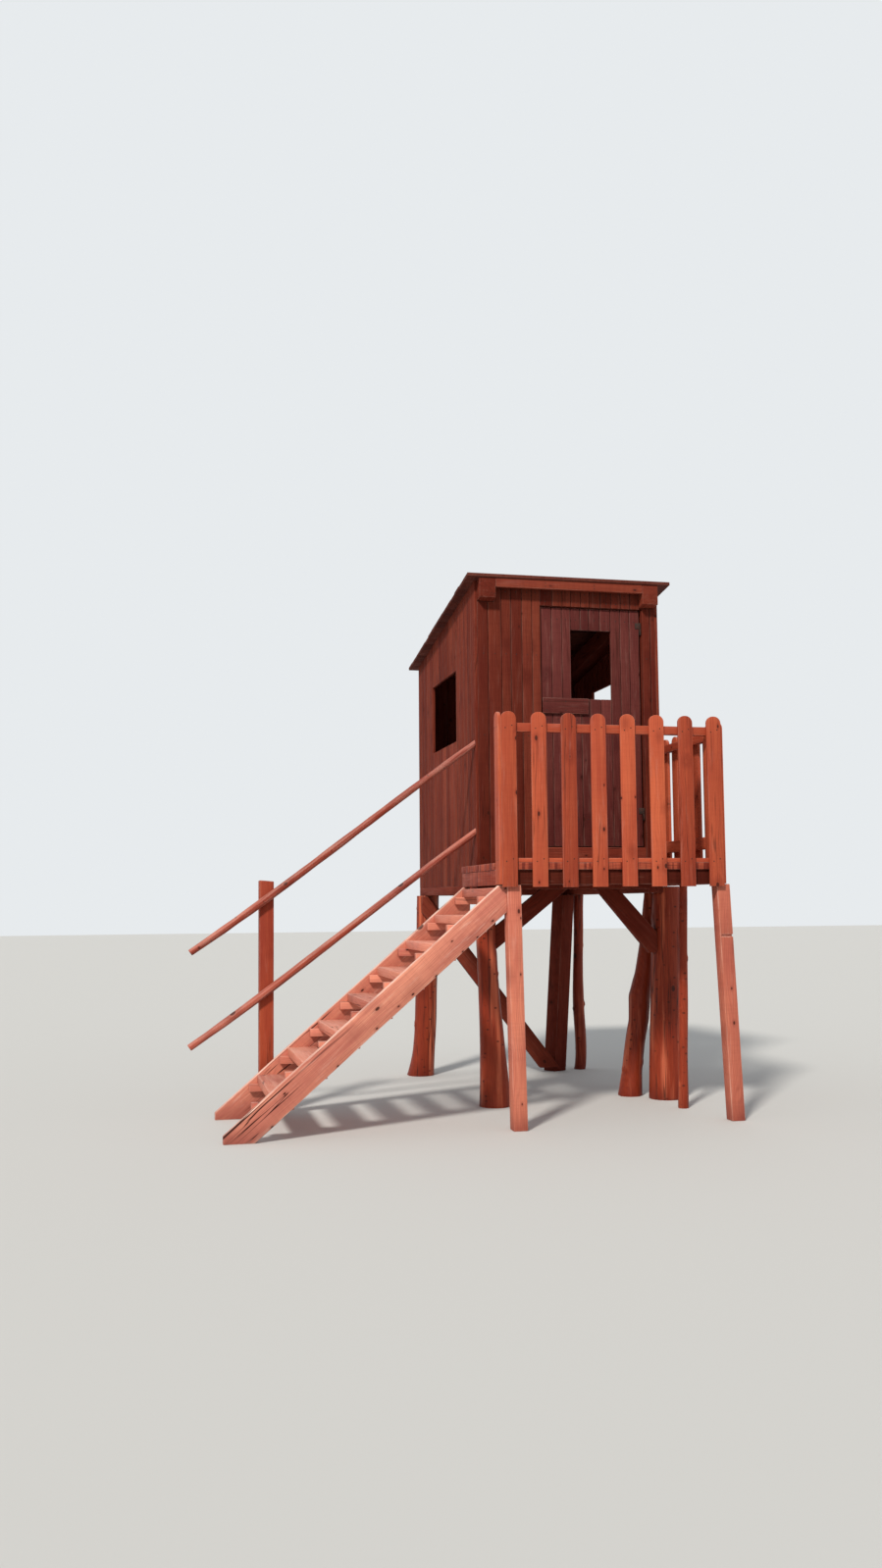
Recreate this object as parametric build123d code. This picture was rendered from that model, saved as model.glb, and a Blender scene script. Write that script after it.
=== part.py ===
from build123d import *
from math import atan, cos, degrees, radians, sin
import os

# Timber tree house on logs and posts: a boarded cabin with a picket-railed deck and a side stair.
# Millimetres. X runs to the right along the deck front, Y to the back, Z up. The origin is on the ground,
# at the middle of the foot of the deck's front left post.

# Deck and its front posts
deck_top = 1666.0
plank_t = 45.0
plank_w = 118.0
plank_gap = 5.0
deck_beam_h = 96.0
deck_beam_w = 45.0
front_beam_w = 70.0
post_side = 92.0
left_post_lean = -25.0
right_post_out = 2.0
right_post_lean = -64.0

# Picket railing
picket_w = 100.0
picket_t = 20.0
picket_pitch = 200.0
picket_count = 8
picket_x = -57.0
picket_top = 2626.0
picket_bottom = 1512.0
picket_crown = 36.0
rail_depth = 45.0
upper_rail_z = 2500.0
upper_rail_h = 55.0
lower_rail_h = 28.0
side_lower_rail_z = 1760.0
side_lower_rail_h = 80.0
side_picket_pitch = 190.0
side_picket_top = 2590.0
rail_post_side = 70.0

# Cabin shell
cabin_left = -16.0
cabin_right = 1381.0
cabin_front = 938.0
cabin_depth = 1967.0
board_t = 22.0
skirt_z = 1542.0
sill_side = 90.0
sill_z = 1478.0
sill_h = 82.0
front_sill_h = 52.0
joist_h = 95.0
joist_w = 45.0
joist_count = 5
floor_t = 28.0
stud_side = 70.0

# Door and windows
door_left = 487.0
door_right = 1241.0
door_gap = 11.0
hinge_gap = 18.0
door_step = 149.0
door_h = 1740.0
door_t = 25.0
door_window_left = 712.0
door_window_right = 1019.0
door_window_drop = 160.0
door_window_h = 508.0
door_batten_w = 90.0
door_batten_t = 20.0
ledger_right = 836.0
ledger_h = 114.0
ledger_t = 20.0
threshold_gap = 8.0
threshold_inset = 7.0
threshold_w = 60.0
head_gap = 7.0
knuckle_r = 6.0
leaf_t = 3.0
leaf_w = 38.0
leaf_h = 90.0
window_w = 820.0
window_h = 540.0
window_set_back = 560.0
window_sill_h = 947.0

# Roof
over_door = 180.0
roof_slope = 0.145
roof_front_overhang = 88.0
roof_back_overhang = 75.0
roof_side_overhang = 73.0
roof_t = 24.0
plate_w = 120.0
plate_h = 145.0
plate_reach = 75.0
cross_plate_h = 95.0
rafter_w = 50.0
rafter_h = 90.0
rafter_count = 2
fascia_h = 66.0
fascia_t = 25.0

# Stair
tread_count = 8
tread_going = 202.0
tread_rise = 174.7
tread_x = -136.0
tread_z = 1509.0
tread_t = 55.0
tread_depth = 190.0
stringer_t = 45.0
stringer_w = 160.0
near_stringer_y = -30.0
toe_cut = 48.0
cleat_h = 50.0
cleat_w = 45.0
near_cleat_reach = 107.0
far_cleat_reach = 55.0
cleat_tail = 150.0

# Handrail
handrail_r = 26.0
handrail_slope = 0.733
upper_handrail_z = 2559.0
lower_handrail_z = 1931.0
handrail_end_x = -2020.0
handrail_post_x = -1478.0
handrail_post_side = 96.0
handrail_post_top = 1580.0

# Logs and posts under the cabin, with their heads placed from the cabin's corners
right_log_out = 79.0
right_log_set = 80.0
right_log_lean = 38.0
right_log_foot_r = 126.0
right_log_head_r = 103.0
left_log_in = 56.0
left_log_set = 50.0
left_log_lean = -48.0
left_log_foot_r = 112.0
left_log_head_r = 72.0
back_log_in = 13.0
back_log_lean = 68.0
back_log_foot_r = 112.0
back_log_head_r = 93.0
back_post_in = 153.0
back_post_lean = 100.0
back_post_side = 132.0
back_post_turn = 27.0
pole_in = 5.0
pole_set_back = 103.0
pole_lean = 16.0
pole_foot_r = 50.0
pole_head_r = 44.0
prop_out = 44.0
prop_set = 280.0
prop_lean = 206.0
prop_foot_r = 90.0
prop_head_r = 60.0
side_prop_in = 20.0
side_prop_y = 560.0
side_prop_lean = 38.0
side_prop_foot_r = 37.0
side_prop_head_r = 29.0

# Scarf notch and braces
notch_z = 1190.0
notch_h = 14.0
notch_w = 80.0
notch_deep = 16.0
brace_t = 45.0
brace_housing = 12.0
knee_set = 20.0
right_knee_top = 874.0
right_knee_wide = 171.0
right_knee_in = 27.0
right_knee_end_low = 1046.0
right_knee_end_high = 1193.0
right_knee_foot_w = 65.0
left_knee_top = 657.0
left_knee_wide = 199.0
left_knee_in = 108.0
left_knee_end_low = 1079.0
left_knee_end_high = 1241.0
back_brace_set = 280.0
back_brace_head_in = 6.0
back_brace_head_drop = 8.0
back_brace_foot_in = 247.0
back_brace_foot_z = 40.0
back_brace_wide = 168.0
back_brace_end_out = 39.0

# Clearance between a round log and the flat board nailed to it
seat = 0.3

cabin_back = cabin_front + cabin_depth
door_bottom = deck_top + door_step
door_top = door_bottom + door_h
roof_front_z = door_top + over_door
threshold_top = door_bottom - threshold_gap
door_window_top = door_top - door_window_drop
door_window_bottom = door_window_top - door_window_h
deck_under = deck_top - plank_t
beam_under = deck_under - deck_beam_h
picket_front = -post_side / 2 - 29.0
picket_back = picket_front + picket_t
deck_left = picket_x - picket_w / 2 - picket_t
rail_left = picket_x - picket_w / 2
rail_right = rail_left + (picket_count - 1) * picket_pitch + picket_w
inner_left = cabin_left + board_t
inner_right = cabin_right - board_t
inner_front = cabin_front + board_t
inner_back = cabin_back - board_t
sill_top = sill_z + sill_h
front_sill_z = sill_top - front_sill_h
joist_top = sill_top + joist_h
floor_top = joist_top + floor_t
window_back = cabin_back - window_set_back
window_front = window_back - window_w
window_bottom = floor_top + window_sill_h
window_top = window_bottom + window_h
opening_left = door_left - door_gap
opening_right = door_right + hinge_gap
opening_top = door_top + head_gap
stair_slope = tread_rise / tread_going
far_stringer_y = cabin_front - stringer_t
pin_x = door_right + hinge_gap / 2
pin_y = inner_front - leaf_t
brace_front = cabin_back - back_brace_set
brace_back = brace_front + brace_t
knee_front = cabin_front + knee_set
handrail_y = cabin_front + handrail_r + 2


def block(x0, x1, y0, y1, z0, z1):
    """A squared piece between two corners."""
    return Pos((x0 + x1) / 2, (y0 + y1) / 2, (z0 + z1) / 2) * Box(x1 - x0, y1 - y0, z1 - z0)


def across(points, y0, y1):
    """An outline in X and Z, as deep as y0 to y1."""
    return extrude(Plane.XZ.offset(-y0) * make_face(Polyline(*points, close=True)), amount=-(y1 - y0))


def along(points, x0, x1):
    """An outline in Y and Z, as wide as x0 to x1."""
    return extrude(Plane.YZ.offset(x0) * make_face(Polyline(*points, close=True)), amount=x1 - x0)


def log(head_x, y, top, lean, foot_r, head_r, bends, front_flat=False, kinked=False):
    """A round log whose head stands lean to the right of its foot, sawn level at both ends.

    Each bend is a share of the height, how far to the right the middle lies there, and how much more radius
    it has.
    With front_flat, y is where the front of the log runs, and else where its middle does.
    A kinked log runs straight from bend to bend.
    """
    sections = []
    for share, aside, swell in [(0.0, 0.0, 0.0)] + bends + [(1.0, 0.0, 0.0)]:
        r = foot_r + (head_r - foot_r) * share + swell
        middle = y + r if front_flat else y
        sections.append(Pos(head_x - lean * (1 - share) + aside, middle, top * share) * Circle(r))
    return loft(sections, ruled=kinked)


def leaning_post(foot_x, foot_y, lean, top, side, turn=0.0):
    """A squared post whose head stands to one side of its foot."""
    foot = Pos(foot_x, foot_y, 0) * Rot(0, 0, turn) * Rectangle(side, side)
    head = Pos(foot_x + lean, foot_y, top) * Rot(0, 0, turn) * Rectangle(side, side)
    return loft([foot, head], ruled=True)


def pieces(solids):
    """Like pieces that share one name and don't touch."""
    return Compound(children=list(solids))


def roof_under(y):
    """Height of the underside of the roof boards."""
    return roof_front_z - roof_slope * (y - (cabin_front - roof_front_overhang))


def under_roof(y0, y1, drop, height):
    """An outline that follows the roof, from drop below its underside."""
    return [
        (y0, roof_under(y0) - drop - height),
        (y1, roof_under(y1) - drop - height),
        (y1, roof_under(y1) - drop),
        (y0, roof_under(y0) - drop),
    ]


def stair_top(x):
    """Height of the upper edge of the stringers."""
    return tread_z + stair_slope * (x - tread_x)


def stair_at(z):
    """Place along the stair where the upper edge of the stringers has height z."""
    return tread_x + (z - tread_z) / stair_slope


def left_post_face(z):
    """Left face of the front left post at height z."""
    return left_post_lean * z / beam_under - post_side / 2


def picket(height, crown):
    """A picket outline with a rounded head, standing on its own base line."""
    half = picket_w / 2
    base = Line((-half, 0), (half, 0))
    right = Line((half, 0), (half, height - crown))
    head = ThreePointArc((half, height - crown), (0, height), (-half, height - crown))
    left = Line((-half, height - crown), (-half, 0))
    return make_face([base, right, head, left])


def posts_and_logs():
    yield "front_left_post", leaning_post(0, 0, left_post_lean, beam_under, post_side)
    right_post_x = rail_right + right_post_out - right_post_lean
    right_post = leaning_post(right_post_x, 0, right_post_lean, beam_under, post_side)
    x = right_post_x + right_post_lean * notch_z / beam_under + post_side / 2
    y = -post_side / 2
    low, high = notch_z - notch_h / 2, notch_z + notch_h / 2
    yield "front_right_post", right_post - block(x - notch_w, x + 10, y - 1, y + notch_deep, low, high)
    x, y = inner_right + right_log_out, cabin_front + right_log_set
    right_log = log(x, y, sill_z, right_log_lean, right_log_foot_r, right_log_head_r,
                    [(0.27, -4, -1), (0.65, -5, 1)])
    yield "front_right_log", right_log - knee(right_knee_outline(), seat)
    x, y = inner_left + left_log_in, cabin_front + left_log_set
    left_log = log(x, y, sill_z, left_log_lean, left_log_foot_r, left_log_head_r,
                   [(0.24, 0, -10), (0.61, -11, -13)])
    yield "front_left_log", left_log - knee(left_knee_outline(), seat)
    y = brace_back - brace_housing
    back_log = log(inner_left + back_log_in, y, sill_z, back_log_lean, back_log_foot_r, back_log_head_r,
                   [(0.2, 18, -18), (0.4, 19, -13), (0.6, 12, -9), (0.8, 6, -5)], front_flat=True)
    housing = across(back_brace_outline(), brace_front, brace_back + seat)
    yield "back_left_log", back_log - housing
    turn = radians(back_post_turn)
    x = inner_right - back_post_in - back_post_lean
    y += back_post_side / 2 * (cos(turn) + sin(turn))
    back_post = leaning_post(x, y, back_post_lean, sill_z, back_post_side, back_post_turn)
    yield "back_right_post", back_post - housing
    x, y = inner_right - pole_in, inner_back - pole_set_back
    yield "crooked_pole", log(x, y, sill_z, pole_lean, pole_foot_r, pole_head_r,
                              [(0.2, 6, 0), (0.4, -9, 0), (0.6, -7, -2), (0.8, -3, -1)])
    yield "side_prop", log(rail_right - side_prop_in, side_prop_y, beam_under, side_prop_lean,
                           side_prop_foot_r, side_prop_head_r, [(0.54, -2, 0)])
    x, y = inner_right + prop_out, cabin_front + prop_set
    yield "leaning_prop", log(x, y, sill_z, prop_lean, prop_foot_r, prop_head_r,
                              [(0.12, -8, -11), (0.25, -7, -8), (0.37, 5, -2), (0.49, -12, 8),
                               (0.61, 2, -4), (0.74, 8, -5), (0.87, 7, -2)], kinked=True)


def right_knee_outline():
    end = inner_right - right_knee_in
    return [
        (right_knee_top, front_sill_z),
        (right_knee_top + right_knee_wide, front_sill_z),
        (end, right_knee_end_high),
        (end, right_knee_end_low),
        (end - right_knee_foot_w, right_knee_end_low),
    ]


def left_knee_outline():
    end = inner_left + left_knee_in
    return [
        (left_knee_top, front_sill_z),
        (left_knee_top - left_knee_wide, front_sill_z),
        (end, left_knee_end_high),
        (end, left_knee_end_low),
    ]


def back_brace_outline():
    head_x, head_z = inner_left + back_brace_head_in, sill_z - back_brace_head_drop
    foot_x, foot_z = inner_right - back_brace_foot_in, back_brace_foot_z
    end_x = cabin_left - back_brace_end_out
    slope = (head_z - foot_z) / (foot_x - head_x)
    return [
        (end_x, head_z),
        (head_x, head_z),
        (foot_x, foot_z),
        (foot_x - back_brace_wide, foot_z),
        (end_x, foot_z + (foot_x - back_brace_wide - end_x) * slope),
    ]


def knee(outline, more=0.0):
    """A knee brace under the front sill, or with more, the housing for it."""
    return across(outline, knee_front - more, knee_front + brace_t + more)


def braces():
    yield "right_knee_brace", knee(right_knee_outline())
    yield "left_knee_brace", knee(left_knee_outline())
    yield "back_brace", across(back_brace_outline(), brace_front, brace_back)


def deck():
    joist_y1 = cabin_front
    left_x = deck_left + 5
    right_x = rail_right - deck_beam_w
    y0 = -front_beam_w / 2
    beam_left = left_x + deck_beam_w
    yield "deck_front_beam", block(beam_left, right_x, y0, y0 + front_beam_w, beam_under, deck_under)
    middle_x = (left_x + right_x) / 2
    yield "deck_joists", pieces([
        block(left_x, left_x + deck_beam_w, picket_front + picket_w, joist_y1, beam_under, deck_under),
        block(middle_x, middle_x + deck_beam_w, y0 + front_beam_w, joist_y1, beam_under, deck_under),
        block(right_x, right_x + deck_beam_w, picket_back + 20, joist_y1, beam_under, deck_under),
    ])
    boards = []
    count = round((cabin_front - picket_back + plank_gap) / (plank_w + plank_gap))
    width = (cabin_front - picket_back + plank_gap) / count - plank_gap
    for i in range(count):
        y = picket_back + i * (width + plank_gap)
        left = rail_left if y < picket_front + picket_w else deck_left
        boards.append(block(left, rail_right, y, y + width, deck_under, deck_top))
    yield "deck_boards", pieces(boards)


def railings():
    standing = Plane.XZ.offset(-picket_front)
    height = picket_top - picket_bottom
    y1 = picket_back + rail_depth
    front = block(rail_left, rail_right, picket_back, y1, upper_rail_z, upper_rail_z + upper_rail_h)
    front += block(rail_left, rail_right, picket_back, y1, deck_top, deck_top + lower_rail_h)
    for i in range(picket_count):
        outline = standing * Pos(picket_x + i * picket_pitch, picket_bottom) * picket(height, picket_crown)
        front += extrude(outline, amount=-picket_t)
    yield "front_railing", front
    side = Plane.YZ.offset(rail_left - picket_t)
    foot = beam_under + 3
    outline = side * Pos(picket_front + picket_w / 2, foot) * picket(picket_top - foot, picket_crown)
    corner_picket = extrude(outline, amount=picket_t)
    rail_start = y1 + rail_post_side
    posts = [block(x, x + rail_post_side, y1, rail_start, deck_top, upper_rail_z + upper_rail_h)
             for x in (rail_left, rail_right - rail_post_side)]
    posts[0] += corner_picket
    yield "railing_posts", pieces(posts)
    right = block(rail_right - rail_depth, rail_right, rail_start, cabin_front, upper_rail_z - 20,
                  upper_rail_z + upper_rail_h - 20)
    right += block(rail_right - rail_depth, rail_right, rail_start, cabin_front, side_lower_rail_z,
                   side_lower_rail_z + side_lower_rail_h)
    side = Plane.YZ.offset(rail_right)
    count = int((cabin_front - picket_back) // side_picket_pitch) + 1
    for i in range(count):
        y = picket_back + 1 + picket_w / 2 + i * (cabin_front - picket_back - picket_w - 2) / (count - 1)
        outline = side * Pos(y, foot) * picket(side_picket_top - foot, picket_crown)
        right += extrude(outline, amount=picket_t)
    yield "right_railing", right


def cabin_floor():
    ring = block(cabin_left, cabin_right, cabin_front, cabin_back, sill_z, skirt_z)
    ring += block(inner_left, inner_right, cabin_front, inner_back, skirt_z, sill_top)
    x0, x1 = inner_left + sill_side, inner_right - sill_side
    y0, y1 = cabin_front + sill_side, inner_back - sill_side
    ring -= block(x0, x1, y0, y1, sill_z - 1, sill_top + 1)
    yield "sill_frame", ring - block(x0, x1, cabin_front - 1, y0 + 1, sill_z - 1, front_sill_z)
    step = (inner_back - joist_w - cabin_front) / (joist_count - 1)
    starts = [cabin_front + i * step for i in range(joist_count)]
    yield "floor_joists", pieces([block(inner_left, inner_right, y, y + joist_w, sill_top, joist_top)
                                  for y in starts])
    yield "floor_boards", block(inner_left, inner_right, inner_front, inner_back, joist_top, floor_top)


def cabin_frame():
    z0 = floor_top
    studs = []
    for x in (inner_left, inner_right - stud_side):
        for y in (inner_front, inner_back - stud_side):
            outline = [(y, z0), (y + stud_side, z0), (y + stud_side, roof_under(y + stud_side) - plate_h),
                       (y, roof_under(y) - plate_h)]
            studs.append(along(outline, x, x + stud_side))
    y1 = inner_front + stud_side
    studs[2] += block(opening_right, inner_right - stud_side, inner_front, y1, z0, opening_top)
    studs.append(block(opening_left - joist_w, opening_left, inner_front, y1, z0, opening_top))
    yield "wall_studs", pieces(studs)
    reach = under_roof(cabin_front - plate_reach, inner_back, 0, plate_h)
    yield "side_plates", pieces([
        along(reach, inner_left, inner_left + plate_w),
        along(reach, inner_right - plate_w, inner_right),
    ])
    x0, x1 = inner_left + plate_w, inner_right - plate_w
    front = [(inner_front, opening_top), (y1, opening_top), (y1, roof_under(y1)),
             (inner_front, roof_under(inner_front))]
    back = under_roof(inner_back - stud_side, inner_back, 0, cross_plate_h)
    yield "cross_plates", pieces([along(front, x0, x1), along(back, x0, x1)])
    outline = under_roof(y1, inner_back - stud_side, 0, rafter_h)
    step = (x1 - x0) / (rafter_count + 1)
    yield "rafters", pieces([along(outline, x0 + i * step - rafter_w / 2, x0 + i * step + rafter_w / 2)
                             for i in range(1, rafter_count + 1)])


def walls():
    outline = [(cabin_front, skirt_z), (cabin_back, skirt_z), (cabin_back, roof_under(cabin_back)),
               (cabin_front, roof_under(cabin_front))]
    window = block(cabin_left - 200, cabin_right + 200, window_front, window_back, window_bottom, window_top)
    yield "left_wall", along(outline, cabin_left, inner_left) - window
    yield "right_wall", along(outline, inner_right, cabin_right) - window
    back = [(inner_back, skirt_z), (cabin_back, skirt_z), (cabin_back, roof_under(cabin_back)),
            (inner_back, roof_under(inner_back))]
    yield "back_wall", along(back, inner_left, inner_right)
    front = [(cabin_front, deck_top), (inner_front, deck_top), (inner_front, roof_under(inner_front)),
             (cabin_front, roof_under(cabin_front))]
    plate_x = inner_right - plate_w
    shoulder = roof_under(inner_front) - plate_h - 3
    x, y = inner_left + plate_w, inner_front + 1
    notch = block(inner_left - 1, x, cabin_front - 1, y, shoulder, roof_front_z)
    yield "front_wall_left", along(front, inner_left, opening_left) - notch
    right = block(opening_right, inner_right, cabin_front, inner_front, deck_top, shoulder)
    yield "front_wall_right", right
    head = [(cabin_front, opening_top), (inner_front, opening_top), (inner_front, roof_under(inner_front)),
            (cabin_front, roof_under(cabin_front))]
    yield "front_wall_head", along(head, opening_left, plate_x)
    y0, y1 = cabin_front + threshold_inset, cabin_front + threshold_inset + threshold_w
    yield "threshold", block(opening_left, opening_right, y0, y1, floor_top, threshold_top)


def door():
    y0 = inner_front
    y1 = y0 + door_t
    panel = block(door_left, door_right, y0, y1, door_bottom, door_top)
    low, high = door_window_bottom, door_window_top
    panel -= block(door_window_left, door_window_right, y0 - 1, y1 + 1, low, high)
    yield "door", panel
    yield "door_ledger", block(door_left, ledger_right, y0 - ledger_t, y0, low - ledger_h, low)
    yield "door_battens", pieces([
        block(door_left + 15, door_right - 15, y1, y1 + door_batten_t, z, z + door_batten_w)
        for z in (door_bottom + 150, low - 200, high + 30)
    ])
    jamb, leaves = [], []
    for z in (door_bottom + 190, high - 20):
        lower = Pos(pin_x, pin_y, z + leaf_h / 4) * Cylinder(knuckle_r, leaf_h / 2)
        upper = Pos(pin_x, pin_y, z + 3 * leaf_h / 4) * Cylinder(knuckle_r, leaf_h / 2)
        plate = block(opening_right - leaf_t, opening_right, pin_y, pin_y + leaf_w, z, z + leaf_h)
        arm = block(pin_x, opening_right, pin_y, pin_y + leaf_t, z, z + leaf_h / 2)
        swept = Pos(pin_x, pin_y, z + 3 * leaf_h / 4) * Cylinder(knuckle_r + 1, leaf_h / 2)
        jamb.append(lower + plate + arm - swept)
        leaf = block(pin_x - leaf_w, pin_x, pin_y, pin_y + leaf_t, z + leaf_h / 2, z + leaf_h)
        leaves.append(upper + leaf)
    yield "jamb_hinges", pieces(jamb)
    yield "door_hinges", pieces(leaves)


def roof():
    y0, y1 = cabin_front - roof_front_overhang, cabin_back + roof_back_overhang
    outline = under_roof(y0, y1, -roof_t, roof_t)
    yield "roof_boards", along(outline, cabin_left - roof_side_overhang, cabin_right + roof_side_overhang)
    y = cabin_front - plate_reach
    fascia = under_roof(y, y + fascia_t, 0, fascia_h)
    yield "front_fascia", along(fascia, inner_left + plate_w, inner_right - plate_w)


def stringer(y0, head_x, head_points):
    drop = stringer_w / cos(atan(stair_slope))
    toe_x = stair_at(toe_cut)
    heel_x = stair_at(drop)
    outline = [(toe_x, 0), (heel_x, 0)] + head_points(drop)
    outline += [(head_x, beam_under), (stair_at(beam_under), beam_under), (toe_x, toe_cut)]
    return across(outline, y0, y0 + stringer_t)


def stair():
    far_head = deck_left + 5 + deck_beam_w
    post_x = left_post_face(beam_under) - seat

    def near_cut(drop):
        low = stair_top(post_x) - drop
        return [(left_post_face(low) - seat, stair_top(left_post_face(low) - seat) - drop)]

    def far_cut(drop):
        return [(far_head, stair_top(far_head) - drop)]

    yield "near_stringer", stringer(near_stringer_y, post_x, near_cut)
    yield "far_stringer", stringer(far_stringer_y, far_head, far_cut)
    y0, y1 = near_stringer_y + stringer_t, far_stringer_y
    treads, cleats = [], []
    for i in range(tread_count):
        x, z = tread_x - i * tread_going, tread_z - i * tread_rise
        tread = block(x, x + tread_depth, y0, y1, z - tread_t, z)
        if x + tread_depth > post_x:
            tread -= block(post_x - 4, x + tread_depth + 1, y0 - 1, post_side / 2 + 4, z - tread_t - 1, z + 1)
        treads.append(tread)
        low, high = z - tread_t - cleat_h, z - tread_t
        tail = min(x + cleat_tail, post_x - 4)
        cleats.append(block(x - near_cleat_reach, tail, y0, y0 + cleat_w, low, high))
        cleats.append(block(x - far_cleat_reach, x + cleat_tail, y1 - cleat_w, y1, low, high))
    yield "treads", pieces(treads)
    yield "tread_cleats", pieces(cleats)


def handrail(top_z):
    """A slightly crooked pole down beside the stair, nailed to the cabin corner and to the rail post."""
    length = cabin_left - handrail_end_x
    tilt = degrees(atan(handrail_slope))
    sections = []
    for share, wander, size in ((0.0, 0, 1.0), (0.3, 5, 0.96), (0.68, -9, 1.04), (1.0, 6, 0.9)):
        x = cabin_left + handrail_r - share * length
        z = top_z - share * length * handrail_slope + wander
        sections.append(Pos(x, handrail_y, z) * Rot(0, 90 - tilt, 0) * Circle(handrail_r * size))
    wall_face = cabin_left - seat
    inside = block(wall_face, wall_face + 200, cabin_front - 100, cabin_front + 200, 0, roof_front_z)
    return loft(sections) - inside


def handrails():
    yield "upper_handrail", handrail(upper_handrail_z)
    yield "lower_handrail", handrail(lower_handrail_z)
    half = handrail_post_side / 2
    y0 = handrail_y + 1.04 * handrail_r + seat
    outline = [
        (handrail_post_x - half, 0),
        (handrail_post_x + half, 0),
        (handrail_post_x + half - 4, handrail_post_top - 8),
        (handrail_post_x - half - 6, handrail_post_top),
    ]
    yield "handrail_post", across(outline, y0, y0 + handrail_post_side)


def main():
    os.makedirs("parts", exist_ok=True)
    groups = (posts_and_logs, braces, deck, railings, cabin_floor, cabin_frame, walls, door, roof, stair,
              handrails)
    for group in groups:
        for name, shape in group():
            export_step(shape, f"parts/{name}.step")


main()
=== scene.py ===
"""Boards, edges, knots, nails and stain of a timber tree house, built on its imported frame."""

import math
import random

import bmesh
import bpy
from mathutils import Euler, Matrix, Vector, noise


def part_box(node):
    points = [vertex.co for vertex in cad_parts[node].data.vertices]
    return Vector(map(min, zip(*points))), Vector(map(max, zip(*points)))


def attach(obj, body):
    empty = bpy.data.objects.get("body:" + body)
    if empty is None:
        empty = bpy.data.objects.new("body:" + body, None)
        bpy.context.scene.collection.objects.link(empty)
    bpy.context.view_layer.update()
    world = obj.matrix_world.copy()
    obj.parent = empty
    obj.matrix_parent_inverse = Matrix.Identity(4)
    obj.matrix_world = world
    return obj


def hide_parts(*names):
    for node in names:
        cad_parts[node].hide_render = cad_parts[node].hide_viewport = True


bl_info = {
    "name": "Tree house",
    "version": (1, 0, 0),
    "blender": (4, 5, 0),
    "location": "3D View > Sidebar > Tree house",
    "description": "Boards, nails, grain and stain for a timber tree house",
    "category": "Add Mesh",
}

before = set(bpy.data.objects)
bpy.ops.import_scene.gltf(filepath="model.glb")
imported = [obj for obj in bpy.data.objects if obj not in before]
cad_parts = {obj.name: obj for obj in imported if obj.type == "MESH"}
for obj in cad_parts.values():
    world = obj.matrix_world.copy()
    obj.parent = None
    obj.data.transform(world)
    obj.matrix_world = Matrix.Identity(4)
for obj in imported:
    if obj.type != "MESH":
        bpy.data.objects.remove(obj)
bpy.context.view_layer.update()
HOUSE = "tree_house"
LEAF = "door_leaf"
UP = Vector((0, 0, 1))
RIGHT = Vector((1, 0, 0))
BACK = Vector((0, 1, 0))

# Lengths are in metres.
NEAR = 0.001  # a corner this close to a plane lies in it
SNUG = 0.0003  # room between two boards that look as if they touch
RIM = 0.0052  # a face narrower than this belongs to a rounded edge
PICKET_THICK = 0.02
PICKET_WIDE = 0.1
POST_SIDE = 0.07
NAIL_LENGTH = 0.003

FLAT = math.radians(0.5)  # faces that meet at less than this are one face
SHARP = math.radians(25)  # edges sharper than this are rounded
SMOOTH = math.radians(32)  # edges blunter than this are shaded smooth


def vertices_of(node):
    """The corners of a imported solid."""
    return [v.co.copy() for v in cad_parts[node].data.vertices]


def groups_of(count, links):
    """For each of so many things, the number of the group that the links tie it to."""
    above = list(range(count))

    def top(i):
        while above[i] != i:
            above[i] = above[above[i]]
            i = above[i]
        return i

    for a, b in links:
        above[top(a)] = top(b)
    return [top(i) for i in range(count)]


def solids_of(node):
    """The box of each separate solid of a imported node."""
    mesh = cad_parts[node].data
    keys = [tuple(round(c, 5) for c in v.co) for v in mesh.vertices]
    places = sorted(set(keys))
    number = {place: i for i, place in enumerate(places)}
    links = [(number[keys[i]], number[keys[face.vertices[0]]])
             for face in mesh.polygons for i in face.vertices[1:]]
    solids = {}
    for place, group in zip(places, groups_of(len(places), links)):
        solids.setdefault(group, []).append(place)
    return sorted((Vector(map(min, zip(*solid))), Vector(map(max, zip(*solid)))) for solid in solids.values())


def opening(node, axis):
    """Sides, bottom and top of the hole in a wall or door, from the corners that lie inside its outline."""
    low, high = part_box(node)
    margin = 0.05
    inner = [v for v in vertices_of(node)
             if all(low[i] + margin < v[i] < high[i] - margin for i in (axis, 2))]
    across, heights = [v[axis] for v in inner], [v.z for v in inner]
    return min(across), max(across), min(heights), max(heights)


def roof_plane():
    """A point and the upward normal of the underside of the roof, read from the top of the left wall."""
    low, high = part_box("left_wall")
    back_top = max(v.z for v in vertices_of("left_wall") if v.y > high.y - NEAR)
    slope = Vector((0, high.y - low.y, back_top - high.z)).normalized()
    return Vector((0, low.y, high.z)), RIGHT.cross(slope)


def roof_height(y):
    """Height of the underside of the roof at that depth."""
    point, normal = roof_plane()
    return point.z - normal.y / normal.z * (y - point.y)


def length(name, description, default):
    """A length that the panel shows."""
    return bpy.props.FloatProperty(name=name, description=description, default=default, unit="LENGTH")


def colour(name, description, default):
    """A colour that the panel shows."""
    return bpy.props.FloatVectorProperty(
        name=name, description=description, default=default, subtype="COLOR", size=3)


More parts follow.
